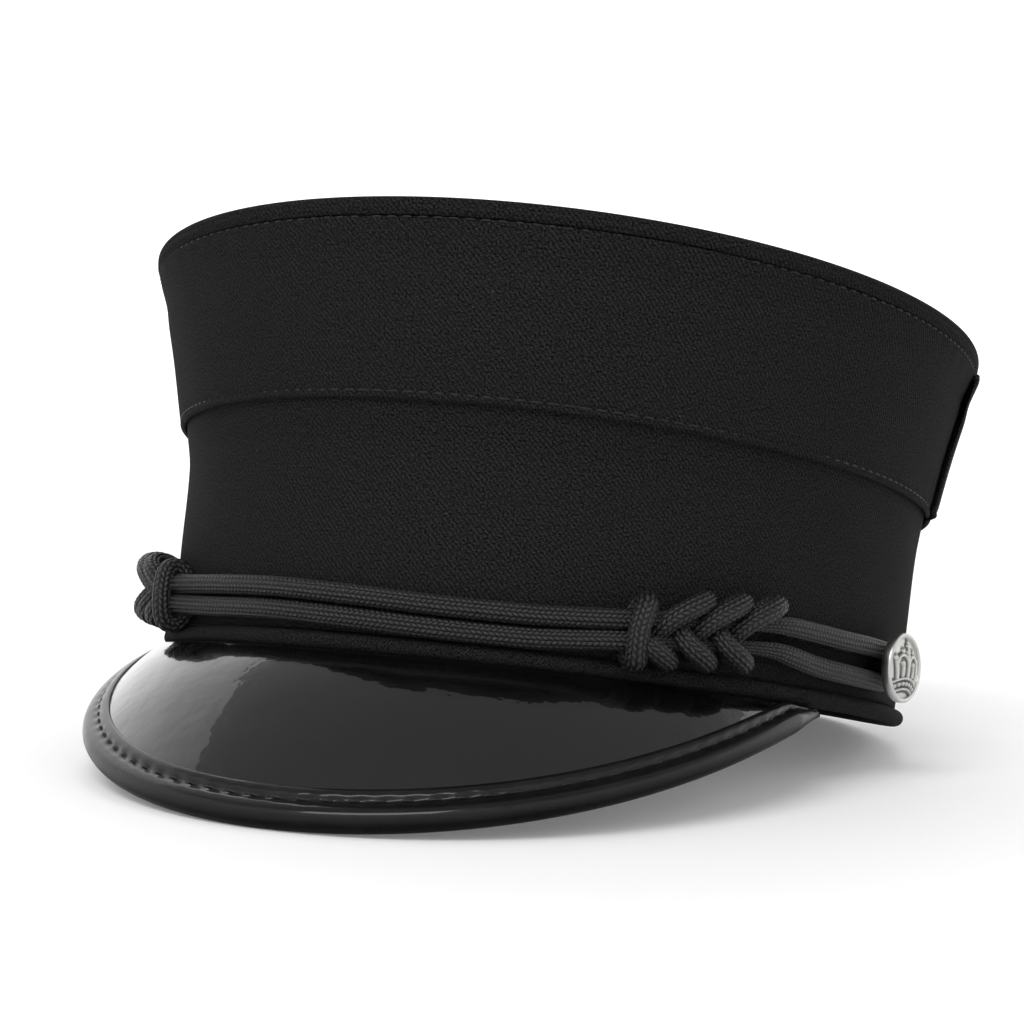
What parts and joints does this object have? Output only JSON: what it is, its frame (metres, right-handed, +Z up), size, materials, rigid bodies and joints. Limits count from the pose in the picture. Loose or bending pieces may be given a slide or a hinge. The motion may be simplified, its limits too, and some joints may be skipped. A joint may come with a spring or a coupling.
{
  "type": "conductor cap",
  "caption": "Flared black twill cap with a patent peak, a braided cord held by slide knots across the front, and round metal side buttons.",
  "frame": {"origin": "centre of the box round the cap, on the table that it rests on", "axes": "+Z up from the table, -Y towards the peak, +X towards the wearer's left"},
  "size_m": [0.2056, 0.2656, 0.125],
  "materials": {
    "roll_twill": "matte black twill",
    "wall_twill": "matte black twill",
    "front_twill": "matte black twill",
    "rear_twill": "matte black twill",
    "top_twill": "matte black twill",
    "patent": "glossy black patent",
    "binding_patent": "glossy black patent",
    "cord_braid": "matte black braid",
    "knot_braid_left": "matte black braid",
    "knot_braid_right": "matte black braid",
    "collar_braid_left": "matte black braid",
    "collar_braid_right": "matte black braid",
    "button_metal_left": "aged silver-coloured metal",
    "button_metal_right": "aged silver-coloured metal"
  },
  "bodies": {
    "root": {"hem_roll": "roll_twill", "lower_wall": "wall_twill", "upper_band_front": "front_twill", "upper_band_rear": "rear_twill", "crown_top": "top_twill", "peak": "patent", "peak_binding": "binding_patent", "cap_cord": "cord_braid", "knot_left": "knot_braid_left", "knot_right": "knot_braid_right", "knot_collar_left": "collar_braid_left", "knot_collar_right": "collar_braid_right", "button_left": "button_metal_left", "button_right": "button_metal_right"}
  },
  "joints": []
}
